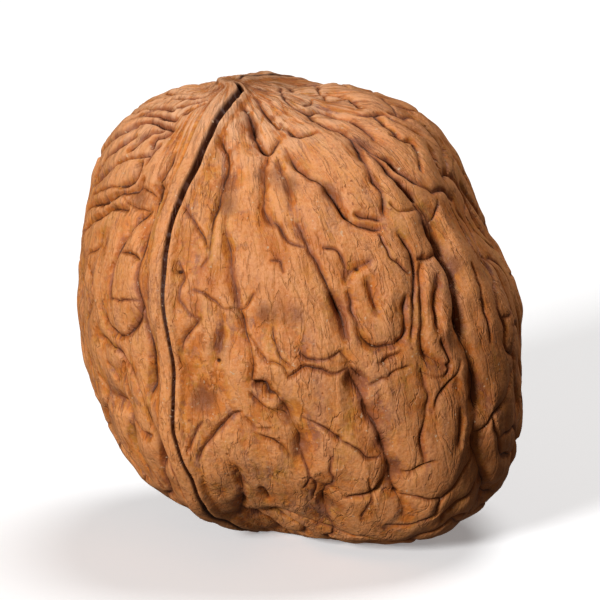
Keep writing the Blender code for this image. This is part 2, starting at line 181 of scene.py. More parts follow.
MAIN_LINES = (
    ((-4.8, 16.6), (-4.2, 15.3), (-3.7, 14.1), (-3.3, 13.1), (-2.8, 12.6), (-2.2, 13.0), (-1.8, 13.5)),
    ((-3.4, 16.4), (-2.6, 15.3), (-2.1, 14.6), (-1.4, 14.3)),
    ((-6.9, 13.7), (-6.2, 13.0), (-5.8, 12.3), (-5.8, 11.4),
     (-6.2, 10.1), (-6.5, 8.7), (-6.8, 7.1), (-7.0, 5.7)),
    ((-1.2, 12.7), (-0.6, 11.8), (0.1, 10.9), (0.7, 10.4),
     (1.4, 10.1), (2.0, 9.7), (2.5, 8.7), (3.0, 8.0)),
    ((3.0, 8.0), (3.8, 7.4), (4.6, 6.9), (5.4, 6.5), (6.0, 6.3)),
    ((-0.5, 15.7), (0.6, 15.6), (1.2, 15.8), (2.1, 15.8),
     (3.0, 15.5), (4.0, 15.2), (4.7, 14.7), (5.7, 13.7)),
    ((0.7, 15.5), (1.2, 14.9), (2.0, 14.4), (3.1, 14.1),
     (3.7, 13.5), (4.3, 12.6), (4.7, 11.7), (5.4, 10.5)),
    ((5.4, 10.5), (5.9, 9.6), (6.3, 8.7), (6.5, 7.4)),
    ((4.2, 13.4), (5.1, 12.6), (6.0, 12.1), (6.9, 11.8),
     (7.6, 11.1), (8.4, 10.5), (9.0, 10.1), (9.8, 9.8)),
    ((5.2, 12.2), (6.3, 11.4), (6.9, 10.7), (7.6, 10.0), (8.4, 9.3), (9.0, 8.6)),
    ((9.0, 8.3), (9.6, 7.5), (10.0, 6.6), (10.6, 5.7),
     (11.1, 4.8), (11.6, 3.6), (12.1, 2.5), (12.3, 1.3)),
    ((-3.4, 17.1), (-2.0, 17.2), (0.0, 17.2), (1.9, 17.2), (3.0, 17.0), (4.0, 16.7), (4.7, 16.0)),
    ((4.7, 15.5), (5.5, 15.4), (6.5, 15.4), (7.2, 15.0), (8.2, 14.6), (9.1, 14.2), (9.6, 13.8)),
    ((-0.3, 6.8), (0.5, 5.2), (1.1, 3.8), (1.7, 2.5), (2.3, 1.3), (2.8, 0.4), (3.2, -0.5), (3.5, -2.0)),
    ((3.7, 1.2), (3.9, -0.1), (4.3, -0.9), (4.6, -1.7),
     (5.1, -2.4), (5.7, -2.8), (6.5, -2.8), (7.4, -2.5)),
    ((7.4, -2.5), (8.0, -2.2), (8.3, -1.6), (8.2, -0.6), (8.2, 1.0)),
    ((7.8, 5.9), (8.4, 5.3), (8.8, 4.5), (8.9, 3.0), (8.8, 1.7), (8.9, 0.2), (8.8, -1.3), (8.8, -2.4)),
    ((9.3, 4.3), (10.3, 4.2), (10.8, 4.5), (11.3, 4.1)),
    ((-11.5, 8.6), (-11.9, 6.7), (-12.2, 5.1), (-12.4, 4.1), (-12.5, 2.0), (-12.4, 0.6), (-12.6, -0.3)),
    ((-12.5, -0.3), (-12.8, -0.9), (-13.3, -1.5), (-13.9, -1.9),
     (-14.7, -1.7), (-15.2, -1.2), (-15.4, -0.5)),
    ((-12.2, 7.9), (-13.0, 7.0), (-13.7, 6.2), (-14.2, 5.3), (-14.5, 3.9), (-14.7, 2.9), (-15.0, 1.2)),
    ((-12.4, 0.6), (-12.2, -0.4), (-12.0, -1.4)),
    ((-12.0, -7.6), (-11.8, -8.4), (-11.4, -9.4), (-11.0, -10.2),
     (-10.8, -11.0), (-10.8, -12.0), (-10.3, -14.2)),
    ((-16.0, -2.0), (-15.2, -2.6), (-14.5, -3.1), (-14.2, -3.6), (-13.7, -4.4), (-13.2, -5.4)),
    ((-3.9, -5.4), (-3.4, -5.7), (-2.9, -5.8), (-2.6, -6.5), (-2.1, -6.8), (-1.8, -7.4)),
    ((-4.7, 0.4), (-4.6, -0.6), (-4.4, -1.7), (-4.2, -2.4), (-4.0, -3.6), (-3.9, -4.6), (-4.0, -5.4)),
    ((4.0, -4.4), (4.5, -5.0), (4.9, -5.4)),
    ((4.4, -6.0), (4.8, -6.9), (5.2, -8.0)),
    ((6.4, -10.6), (6.8, -12.0), (7.2, -13.2), (7.6, -14.4)),
)
FINE_LINES = (
    ((-16.8, 4.3), (-16.2, 5.1), (-15.8, 6.3)),
    ((-14.1, 4.7), (-13.2, 4.4), (-12.5, 4.0)),
    ((-16.8, -0.4), (-16.3, 1.3), (-16.6, 3.3)),
    ((-9.2, 8.4), (-8.2, 6.7), (-7.6, 5.7), (-7.2, 5.0)),
    ((-7.0, 5.7), (-7.1, 4.3), (-7.6, 3.5)),
    ((-1.0, 14.2), (-0.5, 13.7), (0.1, 13.5), (1.0, 13.7)),
    ((4.4, 7.7), (5.1, 7.4), (5.7, 7.2), (6.1, 7.0)),
    ((7.0, 13.8), (8.0, 13.4), (8.7, 13.2), (9.0, 12.6), (9.2, 11.9), (9.4, 11.2)),
    ((9.8, 9.8), (10.6, 9.4), (11.4, 9.5), (12.2, 9.0)),
    ((5.9, 5.8), (6.5, 4.8), (7.0, 4.0), (7.6, 3.6), (8.2, 3.0)),
    ((-8.0, -0.8), (-8.6, -1.4), (-9.0, -1.9), (-9.2, -3.0), (-9.3, -4.2)),
    ((-4.3, -1.7), (-3.7, -2.6), (-3.2, -3.4), (-2.7, -3.9)),
    ((-7.7, -11.2), (-7.4, -10.4), (-6.8, -9.6), (-6.2, -8.8), (-5.6, -8.3), (-4.8, -8.1)),
    ((0.0, -3.3), (0.6, -3.8), (1.3, -4.0)),
    ((-1.0, -5.0), (-0.2, -4.5), (0.6, -4.4), (1.4, -4.6), (2.6, -4.9), (3.6, -4.5)),
    ((9.6, -4.8), (9.8, -6.1), (10.0, -6.9), (9.7, -8.2), (9.5, -9.2), (9.4, -10.5), (9.5, -11.6)),
    ((8.0, -12.9), (8.6, -12.5), (9.3, -11.9), (10.4, -11.6)),
    ((10.5, -7.8), (10.9, -6.7), (11.5, -5.9), (12.2, -5.0), (12.6, -4.0)),
    ((11.1, -2.2), (11.4, -3.2), (11.6, -4.4), (11.2, -5.2)),
    ((-11.3, -9.2), (-10.7, -10.2), (-10.3, -11.4), (-9.7, -12.4), (-9.1, -13.4), (-8.6, -14.4)),
    ((-14.3, -4.0), (-14.2, -5.0), (-13.9, -6.2), (-13.4, -7.4)),
    ((-15.3, -4.2), (-14.7, -5.6)),
    ((6.2, -4.1), (7.0, -3.5), (7.8, -3.2)),
    ((-3.3, -9.6), (-2.2, -10.2), (-1.4, -11.0), (-0.9, -11.6)),
    ((-3.3, -14.0), (-2.6, -15.1)),
    ((-2.1, 6.8), (-1.5, 5.8), (-0.8, 5.3), (0.3, 5.0)),
    ((12.6, 8.2), (13.5, 6.7), (14.3, 4.7), (15.1, 2.4)),
)
FAN_LINES = (
    ((-15.4, 14.6), (-14.4, 15.2), (-13.0, 15.7), (-11.6, 16.0), (-10.4, 15.8), (-9.9, 15.5)),
    ((-14.6, 13.5), (-13.7, 13.9), (-12.0, 14.7), (-10.8, 14.5), (-10.0, 14.2)),
    ((-10.0, 14.2), (-10.5, 13.8), (-11.2, 13.5), (-11.6, 12.9)),
    ((-10.2, 17.8), (-8.6, 17.7), (-7.2, 17.4), (-6.2, 17.3)),
    ((-11.4, 17.1), (-10.0, 17.2), (-8.6, 16.9), (-7.2, 17.0), (-6.4, 17.0)),
    ((-12.2, 16.3), (-11.4, 16.5), (-10.2, 16.6), (-9.2, 16.5), (-7.6, 16.5)),
    ((-9.4, 15.8), (-8.4, 16.1), (-7.4, 16.1)),
    ((-15.7, 13.4), (-14.6, 14.2), (-13.2, 15.0), (-12.0, 15.3), (-10.8, 15.1), (-9.8, 14.9)),
    ((-16.3, 12.0), (-15.4, 12.9), (-14.2, 13.6), (-12.8, 14.2)),
    ((-16.3, 10.0), (-15.0, 11.1), (-14.2, 11.7), (-13.2, 12.1), (-12.0, 12.3)),
    ((-14.2, 9.8), (-13.2, 10.3), (-12.7, 11.1), (-12.7, 11.7)),
    ((-16.8, 8.1), (-15.4, 8.8), (-14.2, 9.3), (-13.0, 9.7), (-12.4, 10.4)),
    ((-10.0, 12.2), (-10.4, 11.2), (-11.0, 10.3)),
    ((-16.9, 6.7), (-16.0, 7.5), (-15.0, 8.1), (-13.8, 8.2)),
    ((-16.2, 10.6), (-15.2, 11.9), (-14.0, 12.9), (-12.9, 13.5)),
    ((-16.0, 12.6), (-15.0, 13.9), (-13.8, 14.8), (-12.6, 15.4), (-11.4, 15.7)),
    ((-13.4, 12.6), (-12.4, 13.4), (-11.4, 14.0), (-10.8, 14.1)),
    ((-9.0, 15.2), (-8.2, 15.6), (-7.4, 15.7)),
    ((-12.2, 11.6), (-11.6, 12.6), (-11.0, 13.0)),
)
BROAD_LINES = (
    ((9.2, 8.4), (10.2, 7.0), (11.0, 5.3), (11.9, 3.2), (12.4, 1.2), (12.8, -1.0), (13.0, -3.2)),
    ((3.6, -4.0), (3.9, -5.2), (4.4, -6.1), (4.9, -7.0),
     (5.6, -8.9), (6.4, -10.6), (7.2, -13.2), (7.9, -16.0)),
    ((-1.8, -7.2), (-1.0, -8.6), (-0.4, -9.8), (-0.2, -11.4)),
    ((2.4, -13.8), (1.9, -15.4), (2.5, -17.4)),
    ((12.8, -1.6), (13.8, -4.8), (14.0, -8.2)),
    ((-15.4, -6.4), (-14.4, -7.6), (-13.8, -8.8), (-13.6, -10.2), (-12.4, -12.6)),
)
SOFT_LINES = (
    ((-2.8, 12.5), (-2.8, 11.1), (-2.9, 9.5), (-2.8, 8.3), (-2.6, 7.5), (-2.3, 6.7)),
    ((-1.7, 11.7), (-1.3, 10.5), (-1.0, 9.3), (-0.7, 8.0)),
    ((-5.9, 7.4), (-5.8, 5.5), (-5.6, 3.5), (-5.2, 1.9), (-4.8, 0.5)),
    ((10.2, 13.0), (10.7, 11.9), (11.3, 10.7)),
    ((9.5, 3.8), (9.4, 2.3), (9.5, 0.6), (9.5, -1.0), (9.6, -2.4), (10.0, -3.6), (11.0, -4.3)),
    ((10.8, 2.6), (10.7, 0.6), (10.9, -1.4)),
    ((-8.4, -11.4), (-7.9, -13.0), (-7.3, -14.4), (-6.7, -15.8)),
    ((-6.4, 0.2), (-6.3, -1.6), (-6.5, -3.6)),
    ((5.3, 2.4), (5.7, 1.2), (6.0, 0.0)),
    ((3.5, 2.3), (3.8, 2.8), (4.3, 3.4), (4.8, 3.6), (5.3, 3.9)),
    ((12.3, -5.2), (12.7, -7.6), (12.4, -10.4)),
    ((6.8, -13.4), (5.0, -14.6), (3.6, -15.0)),
    ((-5.2, -12.2), (-4.6, -14.2), (-5.0, -16.0)),
)
CRACK_LINES = (
    ((-4.4, -8.5), (-3.5, -9.1), (-2.5, -9.0)),
    ((-2.0, -1.4), (-1.9, -2.4), (-1.7, -3.3), (-0.9, -4.2)),
    ((2.4, -11.4), (2.3, -12.4), (2.6, -13.5), (2.0, -14.6)),
    ((3.2, -10.2), (4.4, -10.8), (5.2, -11.6), (6.4, -11.8)),
    ((0.4, -8.6), (1.4, -9.1), (2.0, -9.4), (2.5, -9.7), (3.2, -10.2)),
    ((-2.3, -7.8), (-1.4, -8.3), (-0.8, -9.3)),
    ((-3.9, -6.5), (-3.1, -7.5), (-2.0, -8.1)),
    ((-0.2, -11.0), (0.4, -12.2), (0.6, -13.2), (0.2, -14.2)),
    ((0.6, -13.2), (1.2, -14.0), (1.0, -15.2)),
    ((6.6, -5.2), (7.4, -4.6), (8.6, -4.4)),
    ((5.3, -5.9), (6.2, -5.3), (6.6, -5.2)),
    ((9.5, -4.9), (10.6, -5.2), (11.3, -5.0)),
    ((2.9, -3.0), (3.6, -3.7), (4.1, -4.4)),
    ((1.3, -4.0), (2.2, -3.7), (2.9, -3.0)),
    ((-2.7, -3.9), (-1.6, -4.0), (-1.0, -5.0)),
    ((-9.4, 3.9), (-8.9, 2.6), (-9.2, 1.2), (-8.2, -0.7)),
    ((-14.2, 9.2), (-13.3, 8.4), (-12.2, 7.9)),
    ((-16.4, 9.2), (-15.2, 9.7), (-14.2, 9.9), (-13.2, 10.3)),
    ((-13.2, 9.5), (-12.4, 9.8), (-11.4, 9.0)),
    ((-15.0, 1.2), (-14.0, 0.6), (-12.5, 0.9)),
    ((-16.2, -4.6), (-15.6, -6.4), (-15.4, -7.8)),
    ((-13.2, -5.4), (-12.6, -6.6), (-12.2, -7.6)),
    ((-12.6, -11.0), (-11.8, -12.6), (-10.9, -13.8)),
    ((0.2, 16.0), (0.8, 16.6)),
    ((1.8, 4.9), (2.8, 4.7), (3.4, 3.8), (3.6, 2.6)),
    ((-8.1, 1.6), (-6.8, 0.7), (-6.0, 0.3), (-5.1, 0.5)),
    ((-2.3, 4.0), (-1.5, 3.9), (-1.2, 3.0)),
    ((-5.1, 0.5), (-4.2, 0.4), (-3.7, 1.3)),
    ((5.2, -13.0), (5.4, -14.8), (4.8, -16.4)),
    ((9.8, 6.6), (10.6, 7.6), (10.8, 8.8)),
    ((13.3, 3.6), (14.2, 0.6), (14.8, -2.4)),
    ((-7.6, -8.6), (-8.4, -9.8), (-8.6, -10.8)),
    ((6.8, 8.4), (7.8, 7.7), (9.2, 8.0)),
)

LINE_KINDS = (
    (DEEP_LINES, *DEEP_KIND),
    (MAIN_LINES, *MAIN_KIND),
    (FINE_LINES, *FINE_KIND),
    (FAN_LINES, *FAN_KIND),
    (BROAD_LINES, *BROAD_KIND),
    (SOFT_LINES, *SOFT_KIND),
    (CRACK_LINES, *CRACK_KIND),
)

# Round hollows, small pits, painted shade on the lower right side, and stains on the front, at such places
# too. Several of the stains lie in the hollows and paint shade into them.
HOLLOW_DEPTH = 0.3 * MM
HOLLOW_RADIUS = 1.6 * MM
HOLLOWS = (
    (-7.6, -6.7),
    (10.8, 5.5),
    (7.6, -14.4),
    (0.0, -8.6),
    (-5.7, 2.7),
    (-2.6, -6.6),
    (-12.9, 9.0),
)
PIT_DEPTH = 0.3 * MM
PIT_RADIUS = 0.24 * MM
PITS = (
    (-9.3, 3.0),
    (10.6, 5.6),
    (-3.0, -5.9),
    (2.9, -10.0),
    (11.6, -4.3),
    (-6.5, -3.9),
    (7.6, -14.5),
    (4.4, 3.3),
)
# Painted shade: a broad round spot that darkens the lower right side of the nut
RIGHT_SIDE_PAINTED_SHADE_RADIUS = 8.5 * MM
RIGHT_SIDE_PAINTED_SHADE = ((15.0, -7.0),)
# Stains, several of them placed in the hollows, where they are painted shade
STAIN_AND_SHADE_RADIUS = 1.0 * MM
STAINS_AND_HOLLOW_SHADE = (
    (2.3, 9.2),
    (-5.9, 10.0),
    (-5.8, 8.2),
    (-2.8, 10.6),
    (-1.0, 9.7),
    (-0.2, -11.0),
    (-2.8, -0.2),
    (-0.6, -0.4),
    (11.0, 5.3),
    (12.2, 3.8),
    (11.3, -2.4),
    (2.3, -15.8),
    (7.3, -12.8),
    (-1.2, -8.5),
    (-7.6, -6.4),
    (-7.8, -7.4),
    (-12.9, 9.1),
    (4.0, -5.3),
    (4.6, 13.0),
    (-6.6, -2.8),
)

# Seeded furrows on the sides, the back and the underside, where the way out from the nut's middle
# is turned from the viewer by more than the angle whose cosine is GROWN_FROM. A line drifts to one
# side by its bend over BEND_PER_DRIFT, and at each step TURN_BACK of its turn is undone. Near the
# core the lines stand closer together.
SEED = 11
GROWN_STEP = 0.8 * MM
GROWN_FROM = math.cos(math.radians(56))
GROWN_SMOOTHING = 2
FEWEST_KNOTS = 4
BEND_PER_DRIFT = 3
TURN_BACK = 0.1
CORE_CROWDING = 0.4
CORE_CROWDING_REACH = 10 * MM

# They grow in rounds: how many are tried, how far apart they start, their greatest number of steps
# each way, how they slant and bend in radians, and their kinds
GROWTHS = (
    (900, 3.3 * MM, 10, 0.3, 0.22, (DEEP_KIND, MAIN_KIND, MAIN_KIND, BROAD_KIND)),
    (1500, 2.0 * MM, 7, 0.6, 0.32, (MAIN_KIND, FINE_KIND, FINE_KIND, SOFT_KIND)),
    (1500, 1.3 * MM, 5, 1.3, 0.42, (FINE_KIND, SOFT_KIND, CRACK_KIND, CRACK_KIND)),
)

# Unevenness: height and length of its waves, and how far a furrow's line strays, in what length
UNEVENNESS = ((0.25 * MM, 13 * MM), (0.11 * MM, 6 * MM), (0.06 * MM, 2.5 * MM))
STRAY = ((0.12 * MM, 3.5 * MM), (0.035 * MM, 1.1 * MM))
FIBRE_HEIGHT = 0.02 * MM
FIBRE_LENGTH = 0.9 * MM
FIBRE_STRETCH = 0.3
FIBRE_STEEPNESS = 0.6
BARREL_TAPER = 0.4
WAVE_COUNT = 24
WOBBLE_SEED = SEED + 4
UNEVENNESS_SEED = SEED + 10
FIBRE_SEED = SEED + 20
STRAY_SEED = SEED + 30
PRESSURE_SEED = SEED + 40
RIB_SEED = SEED + 60

# The flat spot that the nut stands on
FOOT_CENTRE = (0.4 * MM, 0.0)
FOOT_RADIUS = 2.8 * MM
FOOT_EDGE = 4.7 * MM
FOOT_DROP = 17.6 * MM

# Mesh. Points within DRAW_IN of a crack's middle or of the gap's middle and rims are moved onto them.
# It is thinned with its cracks deeper by THINNING_CRACK_SHARE, so that enough triangles stay there.
# Its fine and its broad dips are measured from the mesh smoothed in DIP_ROUNDS rounds.
SPHERE_LEVEL = 9
DRAW_IN = 0.05 * MM
SHELL_TRIANGLES = 196000
THINNING_CRACK_SHARE = 4
DIP_ROUNDS = (3, 40)

# Colours
TAN = (0.62, 0.190, 0.035, 1)
RUSSET = (0.46, 0.124, 0.021, 1)
OCHRE = (0.65, 0.240, 0.042, 1)
RIDGE = (0.72, 0.31, 0.122, 1)
CREAM = (0.79, 0.45, 0.26, 1)
MAUVE = (0.25, 0.100, 0.068, 1)
OLIVE = (0.47, 0.228, 0.042, 1)
UMBER = (0.20, 0.048, 0.008, 1)
# Brown for the stains, and for the painted shade of those that lie in hollows
STAIN_AND_SHADE_BROWN = (0.20, 0.066, 0.028, 1)
CREVICE = (0.065, 0.016, 0.004, 1)
SEAM_BLACK = (0.05, 0.011, 0.002, 1)
SPECK = (0.62, 0.42, 0.26, 1)
STEM_GREY = (0.20, 0.125, 0.08, 1)
FLOOR_COLOUR = (0.95, 0.955, 0.965, 1)

# Gloss, bumps, and how raggedly a crack is painted
ROUGHNESS = (0.42, 0.62)
GLOSS = 0.22
BUMP_STRENGTH = 0.8
CRACK_JAG = 1.6

# Camera and light
CAMERA_DISTANCE = 0.7
VIEW_SIZE = 0.0475
SENSOR_WIDTH = 0.036
NEAREST_SEEN = 0.01
FLOOR_RADIUS = 1.2
FLOOR_SIDES = 96
FLOOR_ROUGHNESS = 0.85
FLOOR_GLOSS = 0.15
FLOOR_GLOW = 0.25
AMBIENT_COLOUR = (1.0, 0.82, 0.66, 1)
AMBIENT_STRENGTH = 0.09

# Round lamps: name, place, width and power
LAMPS = (
    ("key", (-0.95, -1.47, 0.69), 0.5, 39.5),
    ("sky", (0.36, 0.42, 1.29), 0.8, 11.0),
)


def unit(vectors):
    return vectors / np.linalg.norm(vectors, axis=-1, keepdims=True)


def smooth_step(value, low, high):
    part = np.clip((value - low) / (high - low), 0, 1)
    return part * part * (3 - 2 * part)


AXIS = unit(np.array((-math.tan(CORE_LEAN_LEFT), -math.tan(CORE_LEAN_FORWARD), 1)))
SEAM_WAY = math.cos(SEAM_TURN) * FRONT + math.sin(SEAM_TURN) * RIGHT
SEAM = unit(SEAM_WAY - AXIS * (SEAM_WAY @ AXIS))
CHEEK = np.cross(AXIS, SEAM)


def waves(points, length, seed):
    """Smooth seeded unevenness of the given length, mostly between -1 and 1."""
    draw = np.random.default_rng(seed)
    ways = unit(draw.normal(size=(WAVE_COUNT, 3)))
    starts = draw.uniform(0, 2 * math.pi, WAVE_COUNT)
    return np.sin(points @ ways.T * (2 * math.pi / length) + starts).sum(axis=1) / math.sqrt(WAVE_COUNT)


def wandering(points, size, length, seed):
    """A seeded shift of each point, of the given size and length."""
    return size * np.stack([waves(points, length, seed + side) for side in (1, 2, 3)], axis=1)


def plain_radius(ways):
    """How far the skin lies from the nut's middle along unit vectors, before any relief."""
    scaled = np.abs(ways) / (HALF_WIDTH, HALF_DEPTH, HALF_HEIGHT)
    radius = (scaled**SQUARENESS).sum(axis=1) ** (-1 / SQUARENESS)
    for turn, height, half_width in SWELLS:
        angle = math.radians(turn)
        outward = ways @ (math.cos(angle) * RIGHT + math.sin(angle) * UP)
        sideways = ways @ (math.cos(angle) * UP - math.sin(angle) * RIGHT)
        forward = ways @ FRONT - SWELL_FORWARD
        reach = math.sin(math.radians(half_width))
        spread = (sideways / reach) ** 2 + (forward / math.sin(SWELL_REACH)) ** 2
        radius += height * MM * np.exp(-spread) * np.clip(outward, 0, 1) ** 2
    return radius


def on_skin(points):
    """The points moved to the plain skin, straight from the nut's middle."""
    ways = unit(points)
    return ways * plain_radius(ways)[:, None]


def lift(marks):
    """Points on the plain skin that the viewer sees at the given places, in millimetres."""
    flat = np.array(marks)[:, :1] * MM * RIGHT + np.array(marks)[:, 1:] * MM * UP
    depth = np.full(len(flat), HALF_DEPTH / 2)
    for _ in range(LIFT_ROUNDS):
        radius = plain_radius(unit(flat + depth[:, None] * FRONT))
        depth = np.sqrt(np.clip(radius**2 - (flat**2).sum(axis=1), MM**2, None))
    return flat + depth[:, None] * FRONT


def smooth_line(knots, steps=6):
    """A smooth line through the knots, straight on at both ends."""
    ends = np.vstack((2 * knots[0] - knots[1], knots, 2 * knots[-1] - knots[-2]))
    line = []
    for before, start, end, after in zip(ends, ends[1:], ends[2:], ends[3:]):
        for part in np.arange(steps) / steps:
            bend = (2 * before - 5 * start + 4 * end - after) * part**2
            twist = (3 * start - before - 3 * end + after) * part**3
            line.append((2 * start + (end - before) * part + bend + twist) / 2)
    return np.array(line + [knots[-1]])


def reach_line(points, line, reach):
    """Which points lie near a line. For each of them: its distance from the line, how far along
    the line that is, from 0 to 1, and its shift onto the line."""
    inside = (points > line.min(axis=0) - reach) & (points < line.max(axis=0) + reach)
    near = np.flatnonzero(inside.all(axis=1))
    nearest = np.full(len(near), np.inf)
    along = np.zeros(len(near))
    shift = np.zeros((len(near), 3))
    for index, (start, end) in enumerate(zip(line, line[1:])):
        run = end - start
        from_start = points[near] - start
        part = np.clip(from_start @ run / (run @ run), 0, 1)
        across = part[:, None] * run - from_start
        gap = np.linalg.norm(across, axis=1)
        closer = gap < nearest
        nearest[closer] = gap[closer]
        along[closer] = (index + part[closer]) / (len(line) - 1)
        shift[closer] = across[closer]
    return near, nearest, along, shift


class Furrows:
    """Furrows gathered over the same points: their layers' depths, and how far off the nearest
    crack is, with 0 at its middle and 1 at its rim."""

    def __init__(self, count):
        self.layers = np.zeros((len(LAYER_SHAPES), count))
        self.crack = np.full(count, float(FAR_FROM_CRACKS))

    def cut(self, where, gap, strength, depths, reaches):
        for layer, (depth, reach, (inner, outer)) in enumerate(zip(depths, reaches, LAYER_SHAPES)):
            shape = depth * strength * np.clip(1 - (gap / reach) ** inner, 0, 1) ** outer
            self.layers[layer, where] += shape**JOIN_POWER
        faintness = FAINTNESS * (1 - np.clip(strength * depths[2] / FULL_CRACK, 0, 1))
        self.crack[where] = np.minimum(self.crack[where], gap / reaches[2] + faintness)

    def depth(self, crack_share=1):
        shares = np.array((1, 1, crack_share))[:, None]
        return (shares * self.layers ** (1 / JOIN_POWER)).sum(axis=0)


def strayed_to_lines(points):
    """The points shifted over the skin so that furrows drawn as smooth lines come out uneven."""
    return on_skin(points + sum(wandering(points, size, length, STRAY_SEED) for size, length in STRAY))


def cut_furrows(points, lines):
    """All furrows, cut along the given lines."""
    furrows = Furrows(len(points))
    strayed = strayed_to_lines(points)
    pressure = PRESSURE + PRESSURE_CHANGE * waves(points, PRESSURE_LENGTH, PRESSURE_SEED)
    for line, depths, reaches in lines:
        near, gap, along, _ = reach_line(strayed, line, reaches[0])
        fade = smooth_step(np.minimum(along, 1 - along), *LINE_END_FADE)
        strength = (LINE_END_STRENGTH + (1 - LINE_END_STRENGTH) * fade) * pressure[near]
        furrows.cut(near, gap, strength, depths, reaches)
    return furrows


def splats(points, marks, radius):
    """Round spots on the front, from 1 at their middle to 0."""
    total = np.zeros(len(points))
    for centre in lift(marks):
        total += np.exp(-((points - centre) ** 2).sum(axis=1) / radius**2)
    return total


def from_core(points):
    """The points' places beside the core, along the seam and up the core."""
    rest = points - CORE_OFFSET * RIGHT
    return rest @ CHEEK, rest @ SEAM, rest @ AXIS


def barrel_places(points):
    """The points' places on a barrel round the core, which narrows towards the stem end."""
    beside, along, up = from_core(points)
    turn = np.arctan2(beside, along)
    rise = np.arctan2(up, np.hypot(beside, along))
    width = HALF_WIDTH * np.cos(np.minimum(rise, 0)) ** BARREL_TAPER
    height = FIBRE_STEEPNESS * HALF_HEIGHT * rise
    return np.stack((width * np.cos(turn), width * np.sin(turn), height), axis=1)


def seam_distance(points):
    """How far right of the seam's gap each point lies, and how wide the gap gapes there."""
    beside, along, up = from_core(points)
    heights, strays = np.array(SEAM_STRAY).T * MM
    front = smooth_step(along, 0, SEAM_STRAY_FROM)
    wobble = SEAM_WOBBLE * waves(points, SEAM_WOBBLE_LENGTH, WOBBLE_SEED)
    gape = smooth_step(up, SEAM_GAPE_FROM, HALF_HEIGHT) * (along > 0)
    return beside - np.interp(up, heights, strays) * front - wobble * (1 - front), gape


def drawn_lines():
    """The drawn furrows: each its points on the plain skin, its depths and its reaches."""
    return [(on_skin(smooth_line(lift(marks))), *kind) for lines, *kind in LINE_KINDS for marks in lines]


def free_way(place, taken, gap):
    """Whether a furrow may run here, clear of the front, the seam and the taken points by the gap,
    and the nearest taken point, if neither the front nor the seam is in the way."""
    off_keel = abs(seam_distance(place[None])[0][0] + KEEL_SHIFT / 2)
    if unit(place) @ FRONT > GROWN_FROM or off_keel < SEAM_CLEARANCE[1]:
        return False, None
    apart = np.linalg.norm(taken - place, axis=1)
    nearest = np.argmin(apart)
    return apart[nearest] >= gap, taken[nearest]


def grow_line(start, taken, heading, bend, steps, draw):
    """A wandering line over the skin. It ends where it meets another, at the seam or on the front."""
    line = [start]
    turn = heading
    drift = draw.normal(0, bend / BEND_PER_DRIFT)
    for _ in range(steps):
        way = unit(line[-1])
        down = unit(way * (way @ AXIS) - AXIS)
        turn += draw.normal(0, bend) + drift + TURN_BACK * (heading - turn)
        step = math.cos(turn) * down + math.sin(turn) * np.cross(way, down)
        place = on_skin((line[-1] + GROWN_STEP * step)[None])[0]
        free, nearest = free_way(place, taken, GROWN_STEP)
        if not free:
            if nearest is not None:
                line.append(nearest)
            break
        line.append(place)
    return line


def grown_lines(drawn):
    """Seeded furrows off the front, the longest first, that branch off one another."""
    draw = np.random.default_rng(SEED)
    taken = np.concatenate([line for line, _, _ in drawn])
    grown = []
    for tries, spacing, steps, slant, bend, kinds in GROWTHS:
        for _ in range(tries):
            start = on_skin(draw.normal(size=(1, 3)))[0]
            heading = draw.normal(0, slant)
            kind = kinds[draw.integers(len(kinds))]
            beside, along, _ = from_core(start)
            spread = smooth_step(math.hypot(beside, along), 0, CORE_CROWDING_REACH)
            room = spacing * (CORE_CROWDING + (1 - CORE_CROWDING) * spread)
            if not free_way(start, taken, room)[0]:
                continue
            forth = grow_line(start, taken, heading, bend, steps, draw)
            back = grow_line(start, taken, heading + math.pi, bend, steps, draw)
            knots = np.array(back[:0:-1] + forth)
            if len(knots) < FEWEST_KNOTS:
                continue
            line = on_skin(smooth_line(knots, GROWN_SMOOTHING))
            taken = np.concatenate((taken, line))
            grown.append((line, *kind))
    return grown


def gap_half_width(gape):
    return SEAM_HALF_WIDTH * (1 + SEAM_GAPE_WIDTH * gape)


def seam_relief(points):
    """The keel, its lips and its gap."""
    side, gape = seam_distance(points)
    keel = KEEL_HEIGHT * np.exp(-(((side + KEEL_SHIFT) / KEEL_HALF_WIDTH) ** 2))
    lips = np.zeros(len(points))
    for height, edge in LIPS:
        outward = side * np.sign(edge)
        lips += height * (outward > 0) * (1 - smooth_step(outward, abs(edge) - LIP_SLOPE, abs(edge)))
    gap = (SEAM_DEPTH + SEAM_GAPE * gape) * np.clip(1 - np.abs(side) / gap_half_width(gape), 0, 1)
    beside, along, _ = from_core(points)
    return keel + (lips - gap) * smooth_step(np.hypot(beside, along), *SEAM_START)


def tip_relief(points):
    """The small tip and the ribs that fan out from it."""
    beside, along, up = from_core(points)
    off_core = np.hypot(beside, along)
    tip = TIP_HEIGHT * np.exp(-((off_core / TIP_RADIUS) ** 2)) * (up > 0)
    turn = np.arctan2(beside, along) + RIB_WOBBLE * waves(points, RIB_WOBBLE_LENGTH, RIB_SEED)
    ribs = np.abs(np.sin(turn * RIB_COUNT / 2)) ** RIB_ROUNDNESS - RIB_MEAN
    fan = smooth_step(off_core, *RIB_FROM) * (1 - smooth_step(off_core, *RIB_TO)) * (up > 0)
    return tip + RIB_HEIGHT * ribs * fan


def drawn_in(points, lines):
    """The points on the plain skin, with those beside a crack's or the gap's middle moved onto it."""
    strayed = strayed_to_lines(points)
    for line, _, _ in lines:
        near, gap, _, shift = reach_line(strayed, line, DRAW_IN)
        beside = gap < DRAW_IN
        points[near[beside]] += shift[beside]
        strayed[near[beside]] += shift[beside]
    side, gape = seam_distance(points)
    rim = gap_half_width(gape)
    for row in (0, rim, -rim):
        points += np.where(np.abs(row - side) < DRAW_IN, row - side, 0)[:, None] * CHEEK
    return points


